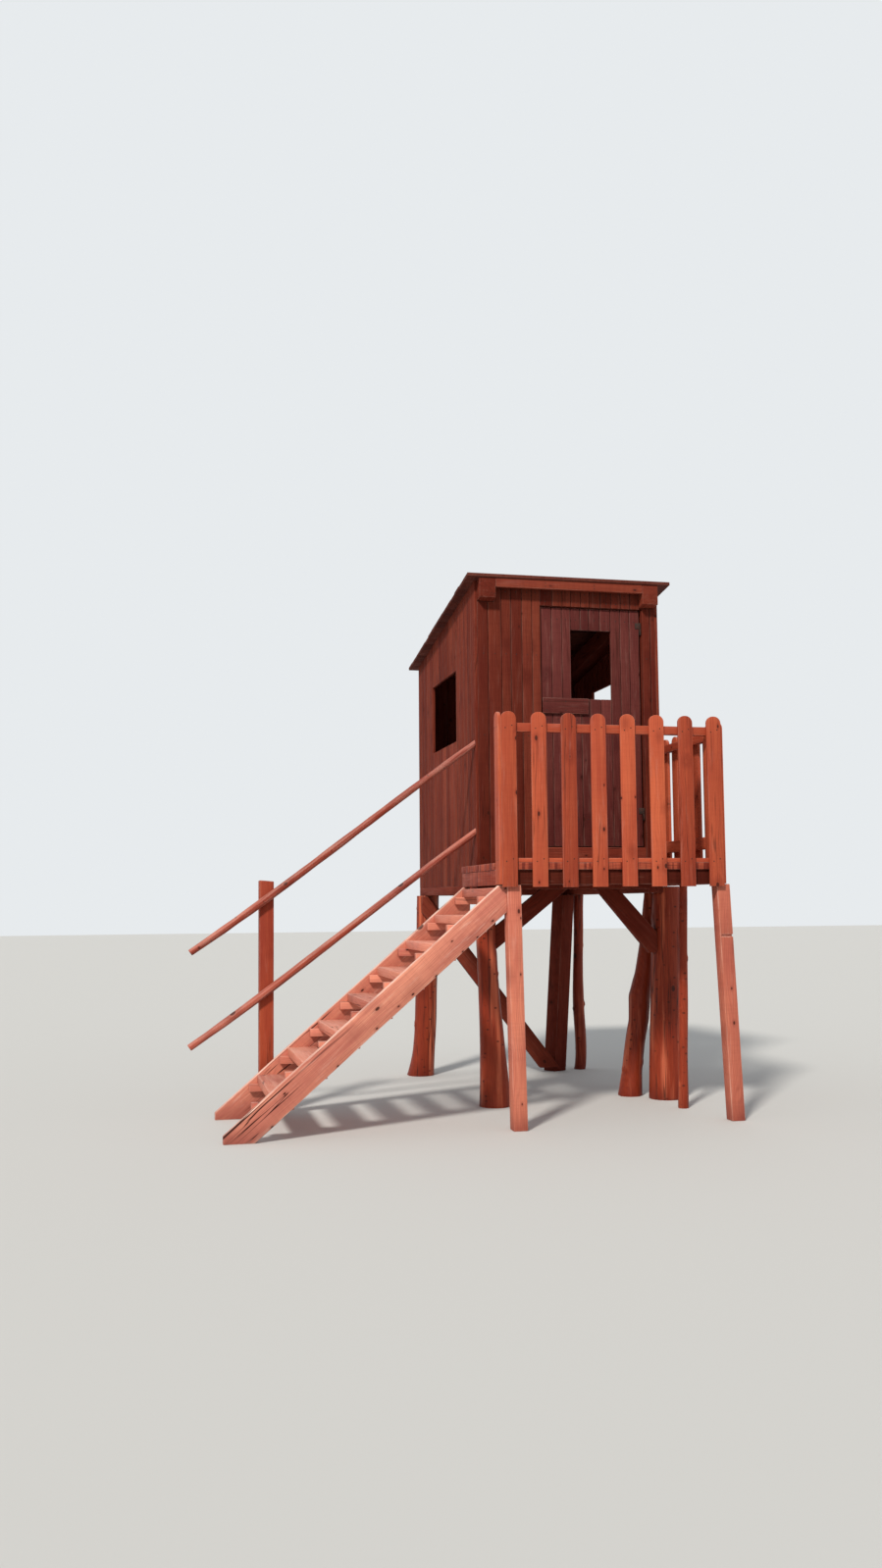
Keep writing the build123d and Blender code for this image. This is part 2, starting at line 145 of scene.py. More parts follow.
class BoardSizes(bpy.types.PropertyGroup):
    """Sizes of the boards and of how they are finished."""

    gap: length("Board gap", "Open joint between two wall boards", 0.0055)
    tongue: length("Tongue edge", "How far the tongue lies in from a board's faces", 0.007)
    board_edge: length("Board edge", "Round-over on the edges of a board", 0.0026)
    timber_edge: length("Timber edge", "Round-over on the edges of posts, planks and beams", 0.004)
    picket_head: length("Picket head", "Radius of the corners of a picket's head", 0.046)
    floor_board: length("Floor board", "Width of a floor board", 0.113)
    roof_board: length("Roof board", "Width of a roof board", 0.133)
    log_mesh: length("Log mesh", "Size of the mesh on a log's surface", 0.009)
    nail_radius: length("Nail head", "Radius of a nail's head", 0.0042)
    nail_proud: length("Nail stand", "How far a nail's head stands proud", 0.0008)


class StainColours(bpy.types.PropertyGroup):
    """Colours of the stained timber, as they look in plain light."""

    board: colour("Boards", "Stain on the wall boards", (0.198, 0.036, 0.020))
    # The door's plum stain, made darker by painted shade under the roof.
    door: colour("Door", "Stain on the door's boards", (0.122, 0.026, 0.022))
    # Partly painted sunlight: paler and pinker than the stain itself, as the stair looks in the sun.
    plank: colour("Planks", "Stain on the stair", (0.62, 0.215, 0.145))
    # A darker, redder copy of the stair's plank stain: painted shade on the front posts.
    post: colour("Posts", "Stain on the front posts", (0.52, 0.145, 0.092))
    deck: colour("Deck", "Stain on the deck's planks", (0.36, 0.068, 0.034))
    picket: colour("Pickets", "Stain on the pickets and rails", (0.44, 0.080, 0.036))
    log: colour("Logs", "Stain on the logs", (0.27, 0.038, 0.015))
    pole: colour("Poles", "Stain on the handrail poles", (0.36, 0.065, 0.036))
    roof: colour("Roof", "Stain on the roof boards", (0.120, 0.030, 0.020))
    # Painted highlight: this pale colour also stands for sunlight on faces that look up and on rounded edges,
    # as well as for wear.
    worn_and_highlit: colour("Worn stain", "Faces from which weather and feet have worn the stain", (0.88, 0.58, 0.47))
    knot: colour("Knots", "Heart of a knot", (0.050, 0.011, 0.007))
    iron: colour("Iron", "Hinges and nails", (0.036, 0.024, 0.020))
    rust: colour("Rust", "Bloom on the iron", (0.09, 0.026, 0.016))


class StageSettings(bpy.types.PropertyGroup):
    """Floor, light and the camera of the photograph."""

    floor: colour("Floor", "Colour of the floor", (0.62, 0.62, 0.60))
    sun: bpy.props.FloatProperty(name="Sun", description="Strength of the main light", default=2.9)
    sky: bpy.props.FloatProperty(name="Sky", description="Strength of the light from all round", default=0.48)
    lens: bpy.props.FloatProperty(
        name="Lens", description="Focal length of the camera", default=30.026, unit="CAMERA")
    eye: bpy.props.FloatVectorProperty(
        name="Eye", description="Place of the camera", subtype="TRANSLATION", size=3,
        default=(-2.2919, -8.0070, 1.4095))
    turn: bpy.props.FloatVectorProperty(
        name="Turn", description="Yaw to the right, pitch up and roll of the camera", subtype="EULER", size=3,
        unit="ROTATION", default=(0.2223, 0.0914, 0.0079))


def sizes():
    return bpy.context.scene.tree_house_sizes


def colours():
    return bpy.context.scene.tree_house_colours


def settings():
    return bpy.context.scene.tree_house_stage


def pick(*objects):
    """Selects these objects alone and makes the first of them the active one."""
    bpy.ops.object.select_all(action="DESELECT")
    for obj in objects:
        obj.select_set(True)
    bpy.context.view_layer.objects.active = objects[0]


def open_mesh(obj):
    """Opens a mesh for editing with all of it selected."""
    pick(obj)
    bpy.ops.object.mode_set(mode="EDIT")
    bpy.ops.mesh.select_mode(type="VERT")
    bpy.ops.mesh.select_all(action="SELECT")


def close_mesh():
    """Ends the editing."""
    bpy.ops.object.mode_set(mode="OBJECT")


def choose(obj, kind, wanted):
    """Selects the edges or the faces of an open mesh that pass a test."""
    bpy.ops.mesh.select_mode(type=kind)
    bpy.ops.mesh.select_all(action="DESELECT")
    mesh = bmesh.from_edit_mesh(obj.data)
    for item in mesh.edges if kind == "EDGE" else mesh.faces:
        item.select_set(bool(wanted(item)))
    bmesh.update_edit_mesh(obj.data)


def looks(face, way):
    """Whether a face looks squarely that way."""
    return face.normal.dot(way) > 0.99


def round_edges(width, segments=2):
    """Rounds the selected edges."""
    bpy.ops.mesh.bevel(offset=width, segments=segments)


def pull(move):
    """Extrudes the selected faces by that much."""
    bpy.ops.mesh.extrude_region_move(TRANSFORM_OT_translate={"value": move})


def block(low, high, turn=(0, 0, 0)):
    """A squared blank between two corners, turned about its middle, with its place in its mesh."""
    low, high = Vector(low), Vector(high)
    bpy.ops.mesh.primitive_cube_add(size=1, location=(low + high) / 2, rotation=turn, scale=high - low)
    bpy.ops.object.transform_apply()
    return bpy.context.object


def board(low, high, turn=(0, 0, 0), edge=None):
    """A planed board with rounded edges."""
    obj = block(low, high, turn)
    open_mesh(obj)
    round_edges(edge or sizes().board_edge)
    close_mesh()
    return obj


def wall_board(low, high, across=None, step=None):
    """A board with a tongue on the side that looks along across, so that no light shows through its joint.

    With a step (x, top), the board is that high to the right of x.
    """
    obj = block(low, high)
    if step:
        x, top = step
        open_mesh(obj)
        bpy.ops.mesh.bisect(plane_co=(x, 0, 0), plane_no=RIGHT)
        choose(obj, "FACE", lambda face: looks(face, UP) and face.calc_center_median().x > x)
        pull((0, 0, top - high[2]))
        bpy.ops.mesh.select_all(action="SELECT")
        bpy.ops.mesh.dissolve_limited(angle_limit=FLAT)
        close_mesh()
    open_mesh(obj)
    round_edges(sizes().board_edge)
    if across:
        choose(obj, "FACE", lambda face: looks(face, across))
        bpy.ops.mesh.inset(thickness=sizes().tongue)
        pull(across * (sizes().gap - SNUG))
    close_mesh()
    return obj


def copy_of(obj, move):
    """Another of the same piece, with its own mesh, moved."""
    other = obj.copy()
    other.data = obj.data.copy()
    bpy.context.scene.collection.objects.link(other)
    other.data.transform(Matrix.Translation(move))
    return other


def solid_copy(node, name):
    """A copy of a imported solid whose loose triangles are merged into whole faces."""
    obj = bpy.data.objects.new(name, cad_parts[node].data.copy())
    bpy.context.scene.collection.objects.link(obj)
    obj.data.materials.clear()
    open_mesh(obj)
    bpy.ops.mesh.customdata_custom_splitnormals_clear()
    bpy.ops.mesh.remove_doubles(threshold=0.00002)
    close_mesh()
    return obj


def modify(obj, kind, **values):
    """Gives a piece a modifier with these values and applies it."""
    pick(obj)
    added = obj.modifiers.new(kind.lower(), kind)
    for key, value in values.items():
        setattr(added, key, value)
    bpy.ops.object.modifier_apply(modifier=added.name)


def push_out(obj, distance):
    """Moves each vertex along its normal by the distance that a rule gives for its place and normal."""
    moved = [c for v in obj.data.vertices for c in v.co + v.normal * distance(v.co, v.normal)]
    obj.data.vertices.foreach_set("co", moved)
    obj.data.update()


def mark(mesh, name, domain, values, kind="FLOAT", field="value"):
    """Keeps values on a mesh for its stain to read."""
    mesh.attributes.new(name, kind, domain).data.foreach_set(field, values)


def lay_grain(obj, along):
    """Gives each loose board of a mesh its own stretch of grain, running along, and its own shade.

    In the grain's coordinates z goes along the board and y through its thickness. The faces sawn across the
    grain are marked, and so are the narrow faces of rounded edges.
    """
    mesh = obj.data
    along = Vector(along).normalized()
    turn = along.to_track_quat("Z", "Y").inverted()
    dice = random.Random(obj.name)
    parts = groups_of(len(mesh.vertices), (edge.vertices for edge in mesh.edges))
    places = [turn @ v.co for v in mesh.vertices]
    members = {}
    for i, part in enumerate(parts):
        members.setdefault(part, []).append(i)
    tone = [0.0] * len(parts)
    for part in sorted(members):
        shift = Vector([dice.uniform(-40, 40) for _ in range(3)])
        shade = dice.random()
        wide, thick = (max(line) - min(line) for line in list(zip(*[places[i] for i in members[part]]))[:2])
        for i in members[part]:
            x, y, z = places[i]
            places[i] = shift + Vector((y, -x, z) if wide < thick else (x, y, z))
            tone[i] = shade
    ends = [float(abs(face.normal.dot(along)) > 0.8) for face in mesh.polygons]
    rims = [float(min((mesh.vertices[a].co - mesh.vertices[b].co).length for a, b in face.edge_keys) < RIM)
            for face in mesh.polygons]
    mark(mesh, "grain", "POINT", [c for place in places for c in place], "FLOAT_VECTOR", "vector")
    mark(mesh, "tone", "POINT", tone)
    mark(mesh, "end", "FACE", ends)
    mark(mesh, "rim", "FACE", rims)


def join(name, objects):
    """Makes several pieces one."""
    if len(objects) > 1:
        pick(*objects)
        bpy.ops.object.join()
    objects[0].name = name
    objects[0].data.name = name
    return objects[0]


def finish_piece(obj, stain, along=None, node=None, body=HOUSE):
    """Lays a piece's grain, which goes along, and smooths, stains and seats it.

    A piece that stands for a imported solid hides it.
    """
    if along:
        lay_grain(obj, along)
    pick(obj)
    bpy.ops.object.shade_smooth_by_angle(angle=SMOOTH)
    # Faces that look up are marked for wear and a painted highlight.
    mark(obj.data, "upward", "CORNER", [max(0.0, corner.vector.z) for corner in obj.data.corner_normals])
    obj.data.materials.clear()
    obj.data.materials.append(finish(stain))
    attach(obj, body)
    if node:
        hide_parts(node)


def nails(name, facing, spots, body=HOUSE):
    """Flat nail heads on a face that looks along facing, driven in until they stand a little proud."""
    radius, proud = sizes().nail_radius, sizes().nail_proud
    start = Vector(spots[0])
    bpy.ops.mesh.primitive_cylinder_add(
        vertices=8, radius=radius, depth=NAIL_LENGTH, location=start + facing * ((proud - NAIL_LENGTH) / 2),
        rotation=facing.to_track_quat("Z", "Y").to_euler())
    first = bpy.context.object
    bpy.ops.object.transform_apply()
    open_mesh(first)
    choose(first, "FACE", lambda face: looks(face, facing))
    bpy.ops.mesh.inset(thickness=radius * 0.4)
    bpy.ops.transform.translate(value=facing * (proud / 2))
    close_mesh()
    heads = [first] + [copy_of(first, Vector(spot) - start) for spot in spots[1:]]
    finish_piece(join(name, heads), "dull_iron", body=body)


def timber(node, along, stain, edge=None, body=HOUSE):
    """A sawn piece: a copy of its solid, with whole faces and rounded edges."""
    obj = solid_copy(node, node + "_timber")
    open_mesh(obj)
    bpy.ops.mesh.dissolve_limited(angle_limit=FLAT)
    bpy.ops.mesh.select_mode(type="EDGE")
    bpy.ops.mesh.select_all(action="DESELECT")
    bpy.ops.mesh.edges_select_sharp(sharpness=SHARP)
    bpy.ops.mesh.bevel(offset=edge or sizes().timber_edge, segments=2, clamp_overlap=True)
    close_mesh()
    finish_piece(obj, stain, along, node, body=body)


def opaque(tint):
    """A colour with its opacity."""
    return (*tint, 1.0)


class Shading:
    """Adds shader nodes to a material or a world. Its patterns lie in the coordinates set as its grain."""

    def __init__(self, owner):
        owner.use_nodes = True
        self.owner = owner
        self.tree = owner.node_tree

    def node(self, kind, sockets=(), **values):
        """A new node with these values and sockets."""
        made = self.tree.nodes.new("ShaderNode" + kind)
        for key, value in values.items():
            setattr(made, key, value)
        self.fill(made, dict(sockets))
        return made

    def fill(self, node, sockets):
        """Links each socket that is given another socket, and sets any other."""
        for key, value in sockets.items():
            if isinstance(value, bpy.types.NodeSocket):
                self.tree.links.new(value, node.inputs[key])
            else:
                node.inputs[key].default_value = value

    def maths(self, kind, a, b=0.0):
        return self.node("Math", {0: a, 1: b}, operation=kind).outputs[0]

    def times(self, a, b):
        return self.maths("MULTIPLY", a, b)

    def plus(self, a, b):
        return self.maths("ADD", a, b)

    def larger(self, a, b):
        return self.maths("MAXIMUM", a, b)

    def rise(self, value, low, high, start=0.0, end=1.0):
        """start where the value is below low, end where it is above high."""
        sockets = {"Value": value, "From Min": low, "From Max": high, "To Min": start, "To Max": end}
        return self.node("MapRange", sockets).outputs["Result"]

    def fall(self, value, low, high):
        """1 where the value is below low, 0 where it is above high."""
        return self.rise(value, low, high, 1.0, 0.0)

    def mix(self, share, a, b, kind="MIX"):
        """Colour b over colour a, by that share."""
        return self.node("Mix", {0: share, 6: a, 7: b}, data_type="RGBA", blend_type=kind).outputs[2]

    def surface(self, sockets):
        """Gives a material's shader these values and sockets."""
        self.fill(self.tree.nodes["Principled BSDF"], sockets)

    def read(self, name):
        """What the mesh says under that name."""
        return self.node("Attribute", attribute_name=name).outputs["Fac"]

    def stretch(self, scale, source=None):
        """The grain's own coordinates, or others, stretched."""
        return self.node("Mapping", {"Vector": source or self.grain, "Scale": scale}).outputs["Vector"]

    def cloud(self, scale, detail=4.0, rough=0.55):
        """Noise with so many spots a metre, each way."""
        sockets = {"Vector": self.stretch(scale), "Scale": 1.0, "Detail": detail, "Roughness": rough}
        return self.node("TexNoise", sockets).outputs["Fac"]

    def cells(self, scale, source=None, **values):
        """Scattered points, so many a metre each way: the distance to the nearest, and its own colour."""
        sockets = {"Vector": self.stretch(scale, source), "Scale": 1.0}
        return self.node("TexVoronoi", sockets, **values).outputs


def wood(name, tint, shade, gloss, shine, saw, streaks, worn_and_highlit, knots, pins, cracks, runs_and_glare, ends):
    """A wood finish in the stain of that name, made lighter or darker by shade.

    Gloss is its roughness, shine its reflection, knots the size of its knots and pins the share of places
    with a pin knot. The others say how strongly each shows, on the marks that lay_grain leaves.
    """
    s = Shading(bpy.data.materials.new(name))
    node, read, cloud, cells, mix = s.node, s.read, s.cloud, s.cells, s.mix
    maths, times, plus, larger, rise, fall = s.maths, s.times, s.plus, s.larger, s.rise, s.fall
    stain = [min(1.0, part * shade) for part in getattr(colours(), tint)]
    heartwood = opaque(colours().knot)

    def toned(*factors):
        return opaque(min(1.0, part * factor) for part, factor in zip(stain, factors))

    deep = toned(0.40, 0.28, 0.32)
    s.grain = node("Attribute", attribute_name="grain").outputs["Vector"]
    across, through, along = node("SeparateXYZ", {0: s.grain}).outputs
    fine = cloud((230, 230, 4.5), detail=5, rough=0.62)
    patches = cloud((34, 24, 3.2), detail=6, rough=0.68)

    # Round knots with a halo, and small pin knots that go through a board in a share of its cells.
    near = cells((5.0, 0.9, 3.4))["Distance"]
    knot = fall(near, knots * 0.62, knots)
    halo = times(rise(near, knots * 0.9, knots * 1.2), fall(near, knots * 1.3, knots * 3.4))
    if pins:
        flat = node("CombineXYZ", {0: across, 1: along}).outputs[0]
        pin = cells((11, 6, 1), flat, voronoi_dimensions="2D")
        kind = node("SeparateColor", {0: pin["Color"]}).outputs
        few = fall(kind[0], pins, pins + 0.01)
        reach = times(pin["Distance"], rise(kind[1], 0.0, 1.0, 0.7, 1.8))
        knot = larger(knot, times(few, fall(reach, 0.055, 0.085)))
        halo = larger(halo, times(few, fall(reach, 0.07, 0.22)))

    # Growth rings that sway and bend round the knots, and streaks, over an uneven coat of stain.
    waves = 560.0
    heart = plus(across, times(cloud((7, 3, 1.1), detail=2), 0.16))
    heart = plus(heart, times(through, 0.6))
    heart = plus(heart, times(fall(near, knots, knots * 4.5), 0.012))
    rings = plus(maths("SINE", times(heart, waves)), 1.0)
    rings = maths("POWER", times(rings, 0.5), 2.4)
    now = mix(rise(cloud((4.5, 2.5, 1.5)), 0.3, 0.7), toned(0.82, 0.72, 0.76), toned(1.16, 1.26, 1.20))
    broad = rise(cloud((36, 20, 1.5), detail=3), 0.48, 0.78)
    now = mix(times(broad, 0.42), now, toned(1.35, 1.75, 1.60))
    now = mix(times(rise(fine, 0.44, 0.74), streaks), now, deep)
    now = mix(times(rings, 0.34 * streaks + 0.05), now, deep)

    # Each board a little darker or lighter, and cooler or warmer, than the next.
    tone = read("tone")
    warm = rise(tone, 0.0, 1.0, 0.66, 1.26)
    own = node("CombineColor", {0: rise(tone, 0.0, 1.0, 0.76, 1.20), 1: warm, 2: warm}).outputs[0]
    now = mix(1.0, now, own, "MULTIPLY")

    # Marks of the saw across the grain, and darker sawn ends.
    end = read("end")
    on_sides = cloud((3, 3, 50), detail=3, rough=0.6)
    on_ends = cloud((50, 3, 3), detail=3, rough=0.6)
    sawn = rise(node("Mix", {0: end, 2: on_sides, 3: on_ends}, data_type="FLOAT").outputs[0], 0.49, 0.57)
    now = mix(times(sawn, saw), now, deep)
    now = mix(times(end, ends), now, deep)

    # Light streaks down a peeled log, partly painted highlight of sun glare, and the dark spots of its twigs.
    if runs_and_glare:
        pale = rise(cloud((15, 15, 0.7), detail=5), 0.52, 0.65)
        now = mix(times(pale, runs_and_glare), now, toned(2.1, 3.6, 4.4))
        twigs = cells((15, 15, 24))
        few = rise(node("SeparateColor", {0: twigs["Color"]}).outputs[1], 0.42, 0.44)
        spots = times(few, fall(twigs["Distance"], 0.10, 0.22))
        now = mix(times(spots, 0.8), now, heartwood)

    # Stain scuffed away, and lighter on faces that look up and on rounded edges: wear with a painted
    # highlight.
    if worn_and_highlit:
        wear_and_highlight = times(rise(read("upward"), 0.35, 0.9), rise(patches, 0.30, 0.62))
        scuffs = times(rise(patches, 0.56, 0.76), 0.35)
        rubbed_and_highlit_rims = times(times(read("rim"), rise(patches, 0.40, 0.60)), 0.55)
        wear_and_highlight = larger(wear_and_highlight, larger(scuffs, rubbed_and_highlit_rims))
        now = mix(times(wear_and_highlight, worn_and_highlit), now, opaque(colours().worn_and_highlit))

    # The knots, and wood darker within a few centimetres of the ground.
    now = mix(times(halo, 0.42), now, deep)
    level = node("SeparateXYZ", {0: node("TexCoord").outputs["Object"]}).outputs[2]
    ragged_height = plus(level, times(patches, -0.16))
    now = mix(times(fall(ragged_height, -0.06, 0.06), 0.5), now, deep)
    now = mix(times(knot, 0.90), now, heartwood)

    # Relief, with drying cracks along the grain in some places only.
    height = plus(times(fine, -0.9), times(sawn, -saw))
    height = plus(height, times(rings, -0.35))
    height = maths("SUBTRACT", height, times(knot, 0.8))
    if cracks:
        seam = maths("ABSOLUTE", maths("SUBTRACT", cloud((20, 9, 0.5), detail=2), 0.5))
        here = rise(cloud((2.4, 2.4, 0.9), detail=2), 0.50, 0.58)
        crack = times(times(fall(seam, 0.004, 0.014), here), cracks)
        now = mix(crack, now, heartwood)
        height = maths("SUBTRACT", height, times(crack, 2.5))
    bump = node("Bump", {"Strength": 0.55, "Distance": 0.0012, "Height": height}).outputs[0]
    rough = plus(gloss, times(rise(fine, 0.35, 0.75), 0.2))
    s.surface({"Base Color": now, "Roughness": rough, "Specular IOR Level": shine, "Normal": bump})
    return s.owner


def dull_iron(name):
    """Dull iron with a brown bloom."""
    iron = Shading(bpy.data.materials.new(name))
    iron.grain = iron.node("TexCoord").outputs["Object"]
    bloom = iron.rise(iron.cloud((90, 90, 90), detail=5), 0.45, 0.7)
    rusty = iron.mix(bloom, opaque(colours().iron), opaque(colours().rust))
    iron.surface({"Base Color": rusty, "Metallic": 0.3, "Specular IOR Level": 0.2, "Roughness": 0.6})
    return iron.owner


# For each wood: tint, shade, gloss, shine, saw, streaks, worn_and_highlit (wear with a painted highlight),
# knots, pins, cracks, runs_and_glare (light streaks with painted glare) and ends.
WOODS = {
    "board_stain": ("board", 1, 0.68, 0.05, 0.1, 0.6, 0.13, 0.08, 0.1, 0.6, 0, 0.3),
    # Painted shade: the front boards' stain is darker, as they stand in shade under the roof.
    "front_stain": ("board", 0.8, 0.66, 0.06, 0.1, 0.6, 0.14, 0.08, 0.1, 0.6, 0, 0.3),
    # The door's stain is partly painted shade.
    "door_stain": ("door", 1, 0.62, 0.1, 0.1, 0.6, 0.24, 0.08, 0.1, 0.6, 0, 0.3),
    # Painted shade: the front beam's stain is darker, as it stands set back in shade.
    "beam_stain": ("board", 0.5, 0.7, 0.05, 0.3, 0.5, 0.2, 0.08, 0.1, 0, 0, 0.3),
    # Painted shade: the front posts' stain is a darker copy of the plank stain.
    "post_stain": ("post", 1, 0.52, 0.14, 0.07, 0.44, 0.55, 0.1, 0.3, 0.95, 0, 0.3),
    # The stringers' strong wear is partly a painted highlight, as they look pale in the sun.
    "stringer_stain": ("plank", 1, 0.52, 0.14, 0.07, 0.44, 1.6, 0.12, 0.3, 1, 0, 0.3),
    # Painted sunlight: the treads are stained lighter than the stringers, as if lit from above.
    "tread_stain": ("plank", 1.12, 0.52, 0.14, 0.05, 0.36, 0.28, 0.1, 0.12, 0.8, 0, 0.3),
    "deck_stain": ("deck", 1, 0.55, 0.14, 0.95, 0.45, 0.24, 0.08, 0.1, 0.5, 0, 0),
    "picket_stain": ("picket", 1, 0.5, 0.14, 0.05, 0.34, 0.28, 0.07, 0.22, 0.5, 0, 0.3),
    "fascia_stain": ("deck", 0.8, 0.6, 0.14, 0.15, 0.5, 0.2, 0.08, 0.1, 0, 0, 0.3),
    "log_stain": ("log", 1, 0.36, 0.16, 0.0, 0.5, 0, 0.1, 0, 0.8, 0.9, 0.3),
    "pole_stain": ("pole", 1, 0.42, 0.2, 0.0, 0.5, 0.35, 0.1, 0, 0.4, 0.35, 0.3),
    "roof_stain": ("roof", 1, 0.7, 0.08, 0.25, 0.6, 0.12, 0.08, 0.1, 0.5, 0, 0.3),
}


def finish(name):
    """The finish of that name, made when it is first asked for."""
    made = bpy.data.materials.get(name)
    if made:
        return made
    return dull_iron(name) if name == "dull_iron" else wood(name, *WOODS[name])


class TREEHOUSE_OT_logs(bpy.types.Operator):
    """Peeled logs and poles under the cabin, with ripples and knots"""

    bl_idname = "treehouse.logs"
    bl_label = "Logs"

    WAVE = 0.004
    RIPPLE = 0.0018
    KNOT_RISE = 0.006
    KNOT_DIMPLE = 0.0035

    def execute(self, context):
        for node in ("front_right_log", "front_left_log", "back_left_log", "crooked_pole", "side_prop",
                     "leaning_prop"):
            self.peel(node)
        return {"FINISHED"}

    def peel(self, node):
        """One log: an even mesh on its solid, rippled along its length, with raised knots."""
        obj = solid_copy(node, node + "_peeled")
        low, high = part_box(node)
        if node == "front_right_log":
            self.shoulder(obj)
        slender = high.x - low.x <= 0.13
        modify(obj, "REMESH", mode="VOXEL", voxel_size=sizes().log_mesh * (0.6 if slender else 1.0))
        self.ease(obj, low.z, high.z)
        centre = (low + high) / 2
        knots = self.knots(node, low.z, high.z)
        push_out(obj, lambda place, normal: self.bark(place, normal, centre, knots))
        for vertex in obj.data.vertices:
            vertex.co.z = max(vertex.co.z, low.z)
        finish_piece(obj, "log_stain", UP, node)

    def shoulder(self, obj):
        """Raises the part of a log's head that stands outside the wall, beside the sill."""
        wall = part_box("right_wall")[1].x + NEAR
        head = max(v.co.z for v in obj.data.vertices)
        open_mesh(obj)
        bpy.ops.mesh.bisect(plane_co=(wall, 0, 0), plane_no=RIGHT)
        choose(obj, "FACE", lambda face: looks(face, UP) and face.calc_center_median().z > head - NEAR
               and face.calc_center_median().x > wall)
        clear = 0.002
        pull((0, 0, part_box("deck_joists")[0].z - head - clear))
        close_mesh()

    def ease(self, obj, bottom, top):
        """Rounds the bends of a log between its sawn ends."""
        kept = 0.02
        sides = obj.vertex_groups.new(name="sides")
        sides.add([v.index for v in obj.data.vertices if bottom + kept < v.co.z < top - kept], 1.0, "REPLACE")
        modify(obj, "SMOOTH", factor=0.5, iterations=12, vertex_group=sides.name)
        obj.vertex_groups.clear()

    def knots(self, node, bottom, top):
        """The knots of a log: the way that each looks, its height and its size."""
        dice = random.Random(node)
        knots = []
        for _ in range(7):
            turn, z = dice.uniform(0, 2 * math.pi), dice.uniform(bottom + 0.15, top - 0.1)
            knots.append((Vector((math.cos(turn), math.sin(turn), 0)), z, dice.uniform(0.012, 0.024)))
        return knots

    def bark(self, place, normal, centre, knots):
        """How far a log's skin stands out at a place: ripples, and knots with a dimple in them."""
        if abs(normal.z) > 0.6:
            return 0.0
        x, y, z = place
        away = self.WAVE * noise.noise(Vector((x * 9, y * 9, z * 2.4)) + centre) - self.WAVE / 4
        away += self.RIPPLE * noise.noise(Vector((x * 55, y * 55, z * 5)))
        for side, middle, size in knots:
            facing = normal.dot(side)
            if facing > 0.55:
                reach = math.hypot(z - middle, (1 - facing) * 0.16) / size
                away += self.KNOT_RISE * math.exp(-reach * reach)
                away -= self.KNOT_DIMPLE * math.exp(-reach * reach * 9)
        return away


class TREEHOUSE_OT_posts(bpy.types.Operator):
    """Squared posts and sawn braces"""

    bl_idname = "treehouse.posts"
    bl_label = "Posts and braces"

    def execute(self, context):
        # The front posts take the darker post stain, which is painted shade.
        for node, stain in (
                ("front_left_post", "post_stain"), ("front_right_post", "post_stain"),
                # Painted shade: the handrail post takes the darker picket stain, as it stands in shade.
                ("handrail_post", "picket_stain"), ("back_right_post", "board_stain")):
            timber(node, UP, stain, edge=0.006)
        for node in ("right_knee_brace", "left_knee_brace", "back_brace"):
            low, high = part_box(node)
            lean = 1 if node == "left_knee_brace" else -1
            timber(node, Vector((high.x - low.x, 0, lean * (high.z - low.z))), "board_stain")
        return {"FINISHED"}


class TREEHOUSE_OT_deck(bpy.types.Operator):
    """Deck planks on their joists and front beam"""

    bl_idname = "treehouse.deck"
    bl_label = "Deck"

    def execute(self, context):
        timber("deck_boards", RIGHT, "deck_stain")
        # The front beam's darker stain is painted shade.
        timber("deck_front_beam", RIGHT, "beam_stain")
        timber("deck_joists", BACK, "deck_stain")
        lines = [(low.x + high.x) / 2 for low, high in solids_of("deck_joists") if high.y - low.y > 0.3]
        from_end, from_edge, stagger = 0.015, 0.022, 0.006
        spots = []
        for low, high in solids_of("deck_boards"):
            for x in lines:
                if low.x + from_end < x < high.x - from_end:
                    spots.append((x, low.y + from_edge, high.z))
                    spots.append((x + stagger, high.y - from_edge, high.z))
        nails("deck_nails", UP, spots)
        return {"FINISHED"}


def clusters(values, gap):
    """Lowest and highest of each group of values that lie closer together than gap."""
    values = sorted(values)
    lowest = [b for a, b in zip([-math.inf] + values, values) if b - a > gap]
    highest = [a for a, b in zip(values, values[1:] + [math.inf]) if b - a > gap]
    return list(zip(lowest, highest))


def picket_middles(node, axis):
    """Middles of the pickets in a packed panel, read from the crowns of their heads."""
    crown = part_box(node)[1].z - 0.0006
    crowns = [v[axis] for v in vertices_of(node) if v.z > crown]
    return [(a + b) / 2 for a, b in clusters(crowns, PICKET_WIDE / 2)]


def rail_corners(node, facing):
    """The corners of a packed panel that lie behind its pickets."""
    face = max(corner.dot(facing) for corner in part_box(node))
    return [v for v in vertices_of(node) if v.dot(facing) < face - PICKET_THICK - NEAR]


def rail_levels(corners):
    """Bottom and top of each rail."""
    levels = [lowest for lowest, highest in clusters([v.z for v in corners], 2 * NEAR)]
    return list(zip(levels[::2], levels[1::2]))


